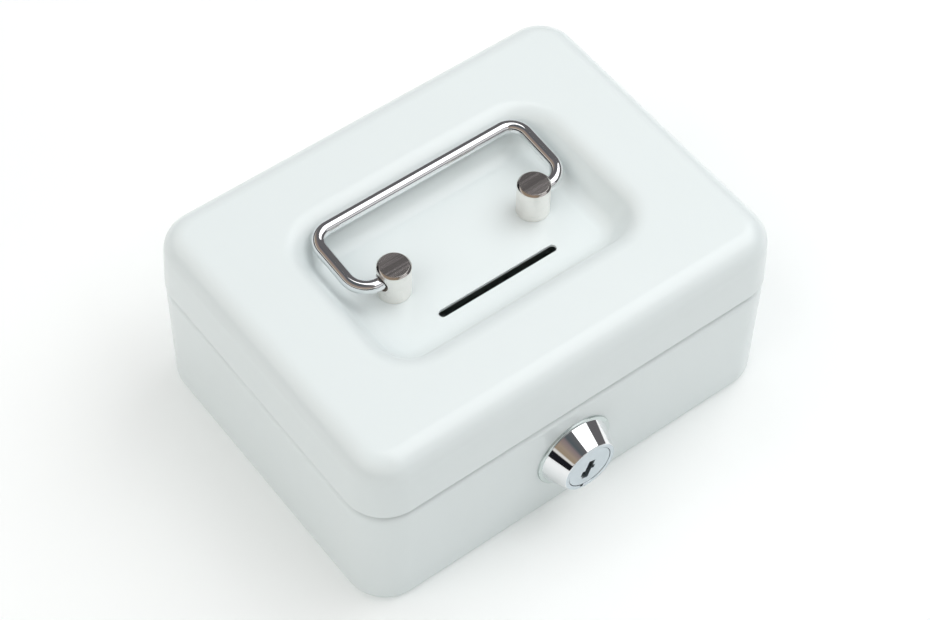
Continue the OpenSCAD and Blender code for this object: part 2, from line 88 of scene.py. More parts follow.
# ---- Tools of the bench: each is a thin layer over the edit-mode operators ----


def clear_selection() -> None:
    """Leaves nothing selected, in object mode."""
    if bpy.context.object and bpy.context.object.mode != "OBJECT":
        bpy.ops.object.mode_set(mode="OBJECT")
    bpy.ops.object.select_all(action="DESELECT")


def activate(obj: Mesh) -> None:
    """Makes one object the only selected and the active one.

    Args:
        obj: The object.
    """
    clear_selection()
    obj.select_set(True)
    bpy.context.view_layer.objects.active = obj


@contextmanager
def editing(obj: Mesh, mode: str = "VERT") -> Iterator[None]:
    """Opens an object in edit mode and closes it again.

    Args:
        obj: The object to edit.
        mode: Select mode: VERT, EDGE or FACE.
    """
    activate(obj)
    bpy.ops.object.mode_set(mode="EDIT")
    bpy.ops.mesh.select_mode(type=mode)
    yield
    bpy.ops.object.mode_set(mode="OBJECT")


def pick(obj: Mesh, kind: str, test: Callable[..., bool]) -> None:
    """Selects only the parts of the edited mesh that pass a test.

    Args:
        obj: The object in edit mode.
        kind: verts, edges or faces.
        test: Takes one vertex, edge or face.
    """
    mesh = bmesh.from_edit_mesh(obj.data)
    for part in (*mesh.faces, *mesh.edges, *mesh.verts):
        part.select_set(False)
    for part in getattr(mesh, kind):
        if test(part):
            part.select_set(True)
    mesh.select_flush(True)
    bmesh.update_edit_mesh(obj.data)


def place(obj: Mesh) -> None:
    """Writes an object's place, turn and scale into its mesh."""
    activate(obj)
    bpy.ops.object.transform_apply(location=True, rotation=True, scale=True)


def added(name: str) -> Mesh:
    """Names the primitive that was just added and writes its place into its mesh.

    Args:
        name: Name of the object and its mesh.

    Returns:
        The object.
    """
    obj = bpy.context.object
    obj.name = obj.data.name = name
    place(obj)
    return obj


def block(name: str, low: Triple, high: Triple) -> Mesh:
    """Adds a cuboid between two corners.

    Args:
        name: Name of the new object.
        low: Its lowest corner.
        high: Its highest corner.

    Returns:
        The cuboid.
    """
    clear_selection()
    centre = [(a + b) / 2 for a, b in zip(low, high)]
    size = [b - a for a, b in zip(low, high)]
    bpy.ops.mesh.primitive_cube_add(size=1, location=centre, scale=size)
    return added(name)


def rod(name: str, radius: float, start: Triple, end: Triple, sides: int = 64) -> Mesh:
    """Adds a round bar between two points.

    Args:
        name: Name of the new object.
        radius: Its radius.
        start: Middle of one end.
        end: Middle of the other end.
        sides: Number of sides.

    Returns:
        The bar.
    """
    clear_selection()
    line = Vector(end) - Vector(start)
    bpy.ops.mesh.primitive_cylinder_add(
        vertices=sides, radius=radius, depth=line.length,
        location=(Vector(start) + Vector(end)) / 2,
        rotation=line.to_track_quat("Z", "Y").to_euler())
    return added(name)


def apply_modifier(obj: Mesh, kind: str, **settings: object) -> None:
    """Adds a modifier and applies it.

    Args:
        obj: The object.
        kind: Type of the modifier.
        **settings: Its settings.
    """
    activate(obj)
    modifier = obj.modifiers.new(kind.title(), kind)
    for key, value in settings.items():
        setattr(modifier, key, value)
    bpy.ops.object.modifier_apply(modifier=modifier.name)


def combine(obj: Mesh, tool: Mesh, operation: str = "DIFFERENCE") -> None:
    """Cuts a tool from an object, or joins it on with UNION, and removes the tool."""
    apply_modifier(obj, "BOOLEAN", object=tool, operation=operation, solver="EXACT")
    bpy.data.objects.remove(tool)


def soften(obj: Mesh, width: float, segments: int = 2, angle: float = 40) -> None:
    """Rounds every edge sharper than an angle in degrees."""
    apply_modifier(obj, "BEVEL", width=width, segments=segments, limit_method="ANGLE",
                   angle_limit=radians(angle), use_clamp_overlap=True)


def close_up(obj: Mesh, gap: float = 0.001) -> None:
    """Merges doubled points and turns all faces outwards.

    Args:
        obj: The object.
        gap: Points closer than this are merged.
    """
    with editing(obj):
        bpy.ops.mesh.select_all(action="SELECT")
        bpy.ops.mesh.remove_doubles(threshold=gap)
        bpy.ops.mesh.normals_make_consistent(inside=False)


def turned(name: str, profile: Sequence[Pair], axis: Triple, foot: Triple = (0, 0, 0),
           sides: int = 96) -> Mesh:
    """Draws a ring and extrudes it along a profile, as on a lathe.

    Args:
        name: Name of the new object.
        profile: Pairs of radius and place along the axis. A closed profile ends where it
            starts; an open one gets a flat cap at each end.
        axis: Direction of the lathe's axis, one unit long.
        foot: Point on the axis where places are counted from.
        sides: Number of sides of the ring.

    Returns:
        The closed mesh.
    """
    way, base = Vector(axis), Vector(foot)
    clear_selection()
    bpy.ops.mesh.primitive_circle_add(
        vertices=sides, radius=profile[0][0], location=base + way * profile[0][1],
        rotation=way.to_track_quat("Z", "Y").to_euler(), fill_type="NOTHING")
    obj = added(name)
    closed = profile[0] == profile[-1]
    with editing(obj, "EDGE"):
        bpy.ops.mesh.select_all(action="SELECT")
        for (r0, at0), (r1, at1) in pairwise(profile):
            bpy.ops.mesh.extrude_edges_move(TRANSFORM_OT_translate={"value": way * (at1 - at0)})
            if r1 != r0:
                bpy.ops.transform.resize(value=(r1 / r0,) * 3, center_override=base + way * at1)
        if not closed:
            bpy.ops.mesh.edge_face_add()
            pick(obj, "edges", lambda e: e.is_boundary)
            bpy.ops.mesh.edge_face_add()
    close_up(obj)
    return obj


@dataclass(frozen=True)
class Loop:
    """A rounded rectangle lying level at one height.

    Args:
        half_w: Half its width.
        half_d: Half its depth.
        radius: Radius of its corners.
        height: Height that it lies at.
    """

    half_w: float
    half_d: float
    radius: float
    height: float

    def centre(self, side_x: int, side_y: int) -> Vector:
        """Centre of one corner's arc."""
        return Vector((side_x * (self.half_w - self.radius),
                       side_y * (self.half_d - self.radius), self.height))


def pressed(name: str, loops: Sequence[Loop], corner_steps: int = 16) -> Mesh:
    """Bevels a plane into a rounded rectangle and extrudes its rim from loop to loop.

    Args:
        name: Name of the new object.
        loops: Where the sheet passes, from its first flat face to its last.
        corner_steps: Faces round each corner.

    Returns:
        A closed mesh, with a flat face on the first and the last loop.
    """
    first = loops[0]
    clear_selection()
    bpy.ops.mesh.primitive_plane_add(size=2, location=(0, 0, first.height))
    obj = added(name)
    with editing(obj):
        bpy.ops.mesh.select_all(action="SELECT")
        bpy.ops.transform.resize(value=(first.half_w, first.half_d, 1),
                                 center_override=(0, 0, first.height))
        bpy.ops.mesh.bevel(offset=first.radius, segments=corner_steps, affect="VERTICES",
                           clamp_overlap=False)
        bpy.ops.mesh.select_all(action="SELECT")
        for old, new in pairwise(loops):
            bpy.ops.mesh.extrude_edges_move()
            mesh = bmesh.from_edit_mesh(obj.data)
            ring = {v.index for v in mesh.verts if v.select}
            for side_x, side_y in ((1, 1), (-1, 1), (-1, -1), (1, -1)):
                pick(obj, "verts",
                     lambda v: v.index in ring and v.co.x * side_x > 0 and v.co.y * side_y > 0)
                centre = new.centre(side_x, side_y)
                bpy.ops.transform.translate(value=centre - old.centre(side_x, side_y))
                if new.radius != old.radius:
                    grow = new.radius / old.radius
                    bpy.ops.transform.resize(value=(grow, grow, 1), center_override=centre)
            pick(obj, "verts", lambda v: v.index in ring)
        bpy.ops.mesh.edge_face_add()
    close_up(obj)
    return obj


def arc(across: float, up: float, radius: float, start: float, end: float,
        steps: int) -> list[Pair]:
    """Points of a circular arc, with its angles in degrees."""
    angles = (radians(start + (end - start) * i / steps) for i in range(steps + 1))
    return [(across + radius * cos(a), up + radius * sin(a)) for a in angles]


def span(points: Iterable[Sequence[float]]) -> tuple[Vector, Vector]:
    """Lowest and highest corner of the box round some points."""
    axes = list(zip(*points))
    return Vector(min(axis) for axis in axes), Vector(max(axis) for axis in axes)


def lay_finishes(obj: Mesh, materials: Sequence[Material],
                 *areas: tuple[int, Callable[[Vector], bool]]) -> None:
    """Gives areas of a piece their own finishes.

    Args:
        obj: The modelled piece.
        materials: Its finishes. The first one covers what no area takes.
        *areas: Number of a finish, and a test on the centre of a face.
    """
    for material in materials:
        obj.data.materials.append(material)
    with editing(obj, "FACE"):
        for index, test in areas:
            pick(obj, "faces", lambda f: test(f.calc_center_median()))
            obj.active_material_index = index
            bpy.ops.object.material_slot_assign()


def finish_piece(obj: Mesh, body: Body, slot: Slot, finishes: "Finishes", node: str,
                 smooth: float = 35) -> None:
    """Turns a piece into metres, shades it and hands it to the frame.

    Args:
        obj: The modelled piece, in millimetres.
        body: Body that the piece moves with.
        slot: Finish in the record, which a piece with no finish of its own gets.
        finishes: Finishes of the box.
        node: CAD node that the piece stands for.
        smooth: Edges flatter than this many degrees are shaded smooth.
    """
    obj.scale = (MM, MM, MM)
    place(obj)
    bpy.ops.object.shade_smooth_by_angle(angle=radians(smooth))
    apply_modifier(obj, "WEIGHTED_NORMAL", keep_sharp=True)
    if not obj.data.materials:
        obj.data.materials.append(finishes[slot.name.lower()])
    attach(obj, body.value)
    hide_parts(node)
    low, high = span(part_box(node))
    own_low, own_high = span([v.co for v in obj.data.vertices])
    past = [*(low - own_low), *(own_high - high)]
    log.info("%s: %d faces, over its node %.3f mm, short %.3f mm", obj.name,
             len(obj.data.polygons), max(past) / MM, -min(past) / MM)


# ---- Finishes ----


@dataclass(frozen=True)
class Finish:
    """What every finish has: a name, a colour and how it takes the light.

    Args:
        name: Name of the Blender material.
        colour: Linear colour of the bare surface.
        roughness: Middle of its roughness.
        roughness_play: How far roughness wanders over the surface.
        tone_play: How far the colour wanders, as a share.
        tone_scale: Patches of tone in each metre.
        grain_scale: Fine marks in each metre.
        grain_depth: Height of the fine marks, in metres.
        grain: Stretch of the fine pattern along X, Y and Z.
        metallic: 1 for metal, 0 for paint.
        coat: Weight of a clear coat.
        coat_roughness: Roughness of the clear coat.
    """

    name: str
    colour: Triple
    roughness: float
    roughness_play: float
    tone_play: float
    tone_scale: float
    grain_scale: float
    grain_depth: float
    grain: Triple = (1, 1, 1)
    metallic: float = 1.0
    coat: float = 0.0
    coat_roughness: float = 0.08

    def uneven(self, board: "Board", marks: Socket) -> Socket:
        """Roughness that wanders with a pattern."""
        return board.spread(marks, self.roughness - self.roughness_play,
                            self.roughness + self.roughness_play)

    def make(self) -> Material:
        """Builds the node material.

        Returns:
            The material, coloured, grained and embossed on Object coordinates.
        """
        board = Board(self.name)
        where = board.coordinates()
        patches = board.noise(where, self.tone_scale, detail=3)
        board.feed("Base Color", board.tint(patches, self.colour, self.tone_play))
        marks = board.noise(board.stretch(where, self.grain), self.grain_scale, detail=4)
        board.feed("Roughness", self.uneven(board, marks))
        board.feed("Normal", board.emboss(marks, self.grain_depth))
        board.set("Metallic", self.metallic)
        if self.coat:
            board.set("Coat Weight", self.coat)
            board.set("Coat Roughness", self.coat_roughness)
        return board.material


class Board:
    """A node board round one Principled shader."""

    def __init__(self, name: str) -> None:
        """Makes the material and finds its shader.

        Args:
            name: Name of the material.
        """
        self.material = bpy.data.materials.new(name)
        self.material.use_nodes = True
        self.tree = self.material.node_tree
        self.shader = self.tree.nodes["Principled BSDF"]

    def node(self, kind: str, **settings: object) -> bpy.types.Node:
        """Adds a node.

        Args:
            kind: Type of the node.
            **settings: Its settings.

        Returns:
            The node.
        """
        node = self.tree.nodes.new(kind)
        for key, value in settings.items():
            setattr(node, key, value)
        return node

    def link(self, source: Socket, target: Socket) -> None:
        """Joins two sockets."""
        self.tree.links.new(source, target)

    def set(self, socket: str, value: float | Sequence[float]) -> None:
        """Sets one of the shader's own sockets."""
        self.shader.inputs[socket].default_value = value

    def feed(self, socket: str, source: Socket) -> None:
        """Joins a socket to the shader."""
        self.link(source, self.shader.inputs[socket])

    def coordinates(self, output: str = "Object") -> Socket:
        """Coordinates of the piece itself."""
        return self.node("ShaderNodeTexCoord").outputs[output]

    def stretch(self, where: Socket, share: Triple) -> Socket:
        """Stretches coordinates.

        Args:
            where: The coordinates.
            share: Factor along X, Y and Z.

        Returns:
            The stretched coordinates.
        """
        node = self.node("ShaderNodeMapping")
        node.inputs["Scale"].default_value = share
        self.link(where, node.inputs["Vector"])
        return node.outputs["Vector"]

    def noise(self, where: Socket, scale: float, detail: float = 2, rough: float = 0.5) -> Socket:
        """Adds a cloudy pattern.

        Args:
            where: Coordinates of the pattern.
            scale: Clouds in each metre.
            detail: How many finer layers it has.
            rough: How strong the finer layers are.

        Returns:
            The pattern, from 0 to 1.
        """
        node = self.node("ShaderNodeTexNoise")
        for socket, value in (("Scale", scale), ("Detail", detail), ("Roughness", rough)):
            node.inputs[socket].default_value = value
        self.link(where, node.inputs["Vector"])
        return node.outputs["Fac"]

    def spread(self, source: Socket, low: float, high: float, start: float = 0.3,
               end: float = 0.7) -> Socket:
        """Maps a pattern onto another range.

        Args:
            source: The pattern.
            low: What its start becomes.
            high: What its end becomes.
            start: Value at which it starts to change.
            end: Value at which it stops.

        Returns:
            The mapped pattern.
        """
        node = self.node("ShaderNodeMapRange")
        names = ("From Min", "From Max", "To Min", "To Max")
        for socket, value in zip(names, (start, end, low, high)):
            node.inputs[socket].default_value = value
        self.link(source, node.inputs["Value"])
        return node.outputs["Result"]

    def mix(self, share: Socket, first: Triple | Socket, second: Triple | Socket) -> Socket:
        """Mixes two colours.

        Args:
            share: Share of the second colour.
            first: A colour or a socket.
            second: A colour or a socket.

        Returns:
            The mixed colour.
        """
        node = self.node("ShaderNodeMix", data_type="RGBA")
        self.link(share, node.inputs["Factor"])
        for socket, colour in zip(node.inputs[6:8], (first, second)):
            if isinstance(colour, Socket):
                self.link(colour, socket)
            else:
                socket.default_value = (*colour, 1)
        return node.outputs[2]

    def blend(self, share: Socket, first: Socket, second: Socket) -> Socket:
        """Mixes two patterns.

        Args:
            share: Share of the second pattern.
            first: A pattern.
            second: A pattern.

        Returns:
            The mixed pattern.
        """
        node = self.node("ShaderNodeMix", data_type="FLOAT")
        for socket, source in zip(("Factor", "A", "B"), (share, first, second)):
            self.link(source, node.inputs[socket])
        return node.outputs["Result"]

    def tint(self, share: Socket, colour: Triple, play: float) -> Socket:
        """Lets a colour wander by a share of itself, darker and lighter."""
        ends = [tuple(min(c * (1 + sign * play), 1.0) for c in colour) for sign in (-1, 1)]
        return self.mix(self.spread(share, 0, 1), *ends)

    def emboss(self, height: Socket, depth: float) -> Socket:
        """Turns a pattern into relief.

        Args:
            height: The pattern.
            depth: Depth of the relief, in metres.

        Returns:
            The bent normal.
        """
        node = self.node("ShaderNodeBump")
        node.inputs["Strength"].default_value = 1
        node.inputs["Distance"].default_value = depth
        self.link(height, node.inputs["Height"])
        return node.outputs["Normal"]

    def facing_up(self, low: float, high: float) -> Socket:
        """Adds a pattern that rises where the piece's own surface faces up.

        Args:
            low: Upward part of the normal where the pattern is 0.
            high: Upward part of the normal where it is 1.

        Returns:
            The pattern.
        """
        split = self.node("ShaderNodeSeparateXYZ")
        self.link(self.coordinates("Normal"), split.inputs[0])
        return self.spread(split.outputs["Z"], 0, 1, low, high)


@dataclass(frozen=True)
class TurnedNickel(Finish):
    """Nickel on a turned post: fine rings round the side, straight grinding marks on the top.

    Args:
        top_colour: Colour between the grinding marks.
        streak_colour: Colour of the grinding marks.
        streak: Stretch of the grinding marks along X, Y and Z.
        top_scale: Grinding marks in each metre.
        top_rough: Roughness between the grinding marks.
        top_normal: Upward part of the normal where the top starts and where it is all top.
        streak_edge: Values of the pattern between which a mark fades in.
    """

    top_colour: Triple = (0.64, 0.61, 0.58)
    streak_colour: Triple = (0.94, 0.9, 0.86)
    streak: Triple = (0.02, 1, 1)
    top_scale: float = 560.0
    top_rough: float = 0.12
    top_normal: Pair = (0.8, 0.95)
    streak_edge: Pair = (0.44, 0.56)

    def make(self) -> Material:
        """Builds the node material with its two grains.

        Returns:
            The material, on Object coordinates.
        """
        board = Board(self.name)
        where = board.coordinates()
        top = board.facing_up(*self.top_normal)
        rings = board.noise(board.stretch(where, self.grain), self.grain_scale, detail=3)
        lines = board.noise(board.stretch(where, self.streak), self.top_scale, detail=4, rough=0.75)
        sheen = board.tint(board.noise(where, self.tone_scale), self.colour, self.tone_play)
        streaks = board.mix(board.spread(lines, 0, 1, *self.streak_edge), self.top_colour,
                            self.streak_colour)
        board.feed("Base Color", board.mix(top, sheen, streaks))
        on_top = board.spread(lines, self.top_rough, self.top_rough + self.roughness_play)
        board.feed("Roughness", board.blend(top, self.uneven(board, rings), on_top))
        board.feed("Normal", board.emboss(board.blend(top, rings, lines), self.grain_depth))
        board.set("Metallic", self.metallic)
        return board.material


@dataclass
class Finishes:
    """Every finish of the box, made once.

    Args:
        enamel: Cool white enamel with a soft gloss.
        chrome: Mirror chrome of the handle and the lock's cone.
        nickel: Turned nickel of the posts.
        edge: The same nickel, polished, on their chamfers.
        rim: Duller chrome of the lock's flange.
        plug: Satin metal of the lock's face and plug.
        brass: Wafers.
        zinc: Zinc-plated hinges, nut, washers and cam.
        steel: Bright steel of pins and springs.
        made: Materials that are made so far.
    """

    enamel: Finish = Finish(
        "white_enamel", (0.762, 0.828, 0.832), roughness=0.32, roughness_play=0.03,
        tone_play=0.004, tone_scale=24.0, grain_scale=260.0, grain_depth=8e-7,
        metallic=0.0, coat=0.35)
    chrome: Finish = Finish(
        "polished_chrome", (0.86, 0.87, 0.88), roughness=0.05, roughness_play=0.02,
        tone_play=0.01, tone_scale=60.0, grain_scale=900.0, grain_depth=4e-7)
    nickel: Finish = TurnedNickel(
        "turned_nickel", (0.9, 0.88, 0.85), roughness=0.34, roughness_play=0.08,
        tone_play=0.03, tone_scale=150.0, grain_scale=9000.0, grain_depth=2.5e-6,
        grain=(0.02, 0.02, 1))
    edge: Finish = Finish(
        "polished_nickel", (0.72, 0.69, 0.66), roughness=0.12, roughness_play=0.03,
        tone_play=0.05, tone_scale=300.0, grain_scale=1500.0, grain_depth=5e-7)
    rim: Finish = Finish(
        "dull_chrome", (0.62, 0.68, 0.67), roughness=0.3, roughness_play=0.04,
        tone_play=0.02, tone_scale=120.0, grain_scale=1200.0, grain_depth=6e-7)
    plug: Finish = Finish(
        "satin_plug", (0.62, 0.68, 0.72), roughness=0.36, roughness_play=0.05,
        tone_play=0.04, tone_scale=200.0, grain_scale=3200.0, grain_depth=2.5e-6)
    brass: Finish = Finish(
        "wafer_brass", (0.75, 0.55, 0.24), roughness=0.28, roughness_play=0.08,
        tone_play=0.08, tone_scale=300.0, grain_scale=3000.0, grain_depth=2e-6,
        grain=(1, 1, 0.1))
    zinc: Finish = Finish(
        "zinc_plate", (0.62, 0.63, 0.60), roughness=0.34, roughness_play=0.08,
        tone_play=0.08, tone_scale=110.0, grain_scale=1800.0, grain_depth=4e-6)
    steel: Finish = Finish(
        "bright_steel", (0.66, 0.67, 0.68), roughness=0.22, roughness_play=0.05,
        tone_play=0.04, tone_scale=120.0, grain_scale=4000.0, grain_depth=2e-6,
        grain=(0.1, 1, 1))
    made: dict[str, Material] = field(default_factory=dict)

    def __getitem__(self, name: str) -> Material:
        """Makes a finish the first time it is asked for.

        Args:
            name: Name of the field.

        Returns:
            Its material.
        """
        if name not in self.made:
            self.made[name] = getattr(self, name).make()
        return self.made[name]


# ---- Box and lid ----


@dataclass
class Hinges:
    """Two small hinges behind the box, each with leaves welded inside through notches.

    Args:
        knuckle_share: Share of a hinge that one end knuckle takes.
        middle: Distance of each hinge from the middle of the box.
        length: Length of one hinge along its pin.
        gap: Gap between neighbouring knuckles.
        axis_y: Place of the pin from front to back.
        axis_z: Height of the pin.
        strap_low: Distance of the straps from the pin.
        leaf: Thickness of the leaves.
        clear: Room round a strap in its notch.
    """

    knuckle_share: float = 0.3
    middle: float = 36.0
    length: float = 24.0
    gap: float = 0.35
    axis_y: float = 49.7
    axis_z: float = 38.0
    strap_low: float = 1.0
    leaf: float = 0.8
    clear: float = 0.15

    @property
    def end_knuckle(self) -> float:
        """Length of an end knuckle."""
        return (self.length - 2 * self.gap) * self.knuckle_share

    @property
    def mid_knuckle(self) -> float:
        """Length of the middle knuckle."""
        return self.length - 2 * self.gap - 2 * self.end_knuckle

    def box_notches(self, start_y: float, top: float) -> list[tuple[Triple, Triple]]:
        """Corners of the notches in the back of the box.

        Args:
            start_y: Where the notches start from front to back.
            top: Height that they reach.

        Returns:
            The lowest and the highest corner of each notch.
        """
        low_z = self.axis_z - self.strap_low - self.leaf
        notches = []
        for side in (-1, 1):
            for left in (-self.length / 2, self.length / 2 - self.end_knuckle):
                x = side * self.middle + left
                notches.append(((x - self.clear, start_y, low_z),
                                (x + self.end_knuckle + self.clear, self.axis_y, top)))
        return notches

    def lid_notches(self, start_y: float, low: float) -> list[tuple[Triple, Triple]]:
        """Corners of the notches in the back rim of the lid.

        Args:
            start_y: Where the notches start from front to back.
            low: Height that they start from.

        Returns:
            The lowest and the highest corner of each notch.
        """
        top = self.axis_z + self.strap_low + self.leaf + self.clear
        reach = self.mid_knuckle / 2 + self.clear
        return [((side * self.middle - reach, start_y, low),
                 (side * self.middle + reach, self.axis_y, top)) for side in (-1, 1)]


@dataclass
class Pressing:
    """Sizes that the box and its lid share, in millimetres.

    Args:
        width: Overall width.
        depth: Overall depth.
        height: Height of the closed lid's top.
        sheet: Thickness of the sheet.
        lid_height: Height of the lid.
        overhang: How far the lid stands proud of the box.
        seam: Gap under the lid's rim.
        corner: Corner radius of the lid in plan.
        shoulder: Radius of the rolled shoulder.
        neck: Height of the neck.
        least_corner: Smallest corner radius of any loop.
    """

    width: float = 125.0
    depth: float = 95.0
    height: float = 56.0
    sheet: float = 0.8
    lid_height: float = 17.8
    overhang: float = 0.2
    seam: float = 0.4
    corner: float = 11.0
    shoulder: float = 3.3
    neck: float = 5.5
    least_corner: float = 0.4

    @property
    def rim_z(self) -> float:
        """Height of the lid's rim."""
        return self.height - self.lid_height

    @property
    def shoulder_z(self) -> float:
        """Height of the shoulder of the box."""
        return self.rim_z - self.seam

    def loops(self, path: Sequence[Pair], half_w: float, half_d: float,
              radius: float) -> list[Loop]:
        """Turns a path of (inset, height) into loops round a rounded rectangle."""
        return [Loop(half_w - inset, half_d - inset, max(radius - inset, self.least_corner), z)
                for inset, z in path]


@dataclass
class Lid:
    """The lid: leaning walls, a soft top edge and a recess for the handle.

    Args:
        press: Sizes shared with the box.
        hinges: The hinges that it makes room for.
        draft: How far the walls lean in.
        edge: Radius of the top edge.
        well_half_w: Half width of the recess's mouth.
        well_half_d: Half depth of the recess's mouth.
        well_corner: Corner radius of the recess.
        well_depth: Depth of the recess.
        well_run: How far its sides slope inwards.
        lip: Radius where the top turns down into the recess.
        fillet: Radius where the slope meets the floor.
        slot_length: Length of the coin slot.
        slot_width: Width of the coin slot.
        slot_front: Distance of the slot in front of the middle.
        slot_x: Place of the slot left or right of the middle.
        rim_round: Rounding of the rim.
        rim_middle: Share of the rounding at its middle point.
        slot_round: Rounding of the slot's edge.
        past: How far a cutter starts or ends beyond the sheet.
    """

    press: Pressing
    hinges: Hinges
    draft: float = 1.0
    edge: float = 6.5
    well_half_w: float = 38.75
    well_half_d: float = 24.665
    well_corner: float = 11.5
    well_depth: float = 9.0
    well_run: float = 6.0
    lip: float = 6.0
    fillet: float = 5.0
    slot_length: float = 35.5
    slot_width: float = 2.2
    slot_front: float = 11.7
    slot_x: float = 0.8
    rim_round: float = 0.2
    rim_middle: float = 0.3
    slot_round: float = 0.08
    past: float = 3.0

    @property
    def floor_z(self) -> float:
        """Height of the recess floor."""
        return self.press.height - self.well_depth

    def side(self, deep: float) -> list[Pair]:
        """Path up the wall and over the top edge.

        Args:
            deep: Depth of the skin under the outer one.

        Returns:
            The path, as (inset, height).
        """
        press, ease = self.press, self.rim_round
        lean = degrees(atan2(self.draft, press.lid_height))
        turn = radians(lean)
        wall = press.lid_height - self.edge + self.edge * sin(turn)
        arc_in = self.edge * cos(turn) + wall * tan(turn)
        foot = deep / cos(turn)
        inward = ease if deep == 0 else -ease
        return [
            (foot + inward, press.rim_z),
            (foot + inward * self.rim_middle, press.rim_z + ease * self.rim_middle),
            (foot + ease * tan(turn), press.rim_z + ease),
            *arc(arc_in, press.height - self.edge, self.edge - deep, 180 - lean, 90, 16),
        ]

    def well(self, deep: float) -> list[Pair]:
        """Path over the lip, down the slope and onto the recess floor.

        Args:
            deep: Depth of the skin under the outer one.

        Returns:
            The path, as (inset, height).
        """
        slope = degrees(atan2(self.well_depth, self.well_run))
        lip_run = self.lip * tan(radians(slope / 2))
        floor_run = self.fillet * tan(radians(slope / 2))
        return [
            *arc(-lip_run, self.press.height - self.lip, self.lip - deep, 90, 90 - slope, 14),
            *arc(self.well_run + floor_run, self.floor_z + self.fillet, self.fillet + deep,
                 270 - slope, 270, 12),
        ]

    def skin(self, deep: float) -> list[Loop]:
        """All loops of one skin, from the rim to the recess floor.

        Args:
            deep: Depth of the skin under the outer one.

        Returns:
            The loops.
        """
        press = self.press
        outer = press.loops(self.side(deep), press.width / 2, press.depth / 2, press.corner)
        return outer + press.loops(self.well(deep), self.well_half_w, self.well_half_d,
                                   self.well_corner)

    def slot_cutter(self) -> Mesh:
        """Makes a bar with round ends that cuts the coin slot.

        Returns:
            The cutter.
        """
        radius = self.slot_width / 2
        straight = self.slot_length / 2 - radius
        low, high = self.floor_z - self.past, self.floor_z + self.past
        bar = block("slot_cutter", (self.slot_x - straight, -self.slot_front - radius, low),
                    (self.slot_x + straight, -self.slot_front + radius, high))
        for side in (-1, 1):
            x = self.slot_x + side * straight
            combine(bar, rod("slot_end", radius, (x, -self.slot_front, low),
                             (x, -self.slot_front, high), 32), "UNION")
        return bar

    def build(self, posts: Sequence[Pair], screw_radius: float) -> Mesh:
        """Presses the lid and cuts its slot, notches and screw holes.

        Args:
            posts: Places of the handle's posts.
            screw_radius: Radius of the screw holes.

        Returns:
            The lid.
        """
        lid = pressed("lid_shell", [*reversed(self.skin(self.press.sheet)), *self.skin(0)])
        combine(lid, self.slot_cutter())
        for x, y in posts:
            combine(lid, rod("screw_cutter", screw_radius, (x, y, self.floor_z - self.past),
                             (x, y, self.floor_z + 1), 48))
        start_y = self.press.depth / 2 - self.press.sheet - self.hinges.clear
        for low, high in self.hinges.lid_notches(start_y, self.press.rim_z - 1):
            combine(lid, block("notch_cutter", low, high))
        self.ease_slot(lid)
        return lid

    def ease_slot(self, lid: Mesh) -> None:
        """Rounds the coin slot's upper edge, as paint does.

        Args:
            lid: The lid, with its slot cut.
        """
        reach = self.slot_length / 2 + 0.5
        with editing(lid, "EDGE"):
            pick(lid, "edges", lambda e: all(
                abs(v.co.z - self.floor_z) < 0.01 and abs(v.co.x - self.slot_x) < reach
                and abs(v.co.y + self.slot_front) < self.slot_width for v in e.verts))
            bpy.ops.mesh.bevel(offset=self.slot_round, segments=2, affect="EDGES")

    def dress(self, lid: Mesh, finishes: Finishes) -> None:
        """Gives the lid its enamel."""
        finish_piece(lid, Body.LID, Slot.ENAMEL, finishes, "lid", smooth=30)


@dataclass
class BoxBody:
    """The box: soft bottom edge, rolled shoulder and a hemmed neck that goes under the lid.

    Args:
        press: Sizes shared with the lid.
        hinges: The hinges that it makes room for.
        foot: Radius of the bottom edge.
        hem: Height of the folded hem.
        notch_room: Room between a notch's start and the welded leaf.
    """

    press: Pressing
    hinges: Hinges
    foot: float = 2.6
    hem: float = 3.5
    notch_room: float = 0.857

    def path(self) -> list[Pair]:
        """Path from the underside over the neck to the floor.

        Returns:
            The path, as (inset, height).
        """
        press = self.press
        roll, sheet = press.shoulder, press.sheet
        wall_top = press.shoulder_z - roll
        neck_top = press.shoulder_z + press.neck
        inner = roll + sheet
        return [
            *arc(self.foot, self.foot, self.foot, 270, 180, 8),
            *arc(roll, wall_top, roll, 180, 90, 10),
            *arc(inner, neck_top - sheet, sheet, 180, 0, 10),
            (inner + sheet, neck_top - self.hem),
            (inner, neck_top - self.hem),
            (inner, press.shoulder_z - sheet),
            *arc(roll, wall_top, roll - sheet, 90, 180, 8),
            *arc(self.foot, self.foot, self.foot - sheet, 180, 270, 8),
        ]

    def build(self, lock_hole: Mesh) -> Mesh:
        """Presses the box and cuts the lock hole and the hinge notches.

        Args:
            lock_hole: Cutter of the lock's hole, in place.

        Returns:
            The box.
        """
        press = self.press
        half_d = press.depth / 2 - press.overhang
        body = pressed("box_shell", press.loops(self.path(), press.width / 2 - press.overhang,
                                                half_d, press.corner - press.overhang))
        combine(body, lock_hole)
        start_y = half_d - press.sheet - self.hinges.leaf - self.notch_room
        for low, high in self.hinges.box_notches(start_y, press.shoulder_z + 1):
            combine(body, block("notch_cutter", low, high))
        return body

    def dress(self, body: Mesh, finishes: Finishes) -> None:
        """Gives the box its enamel."""
        finish_piece(body, Body.BOX, Slot.ENAMEL, finishes, "box_body", smooth=30)


# ---- Handle ----


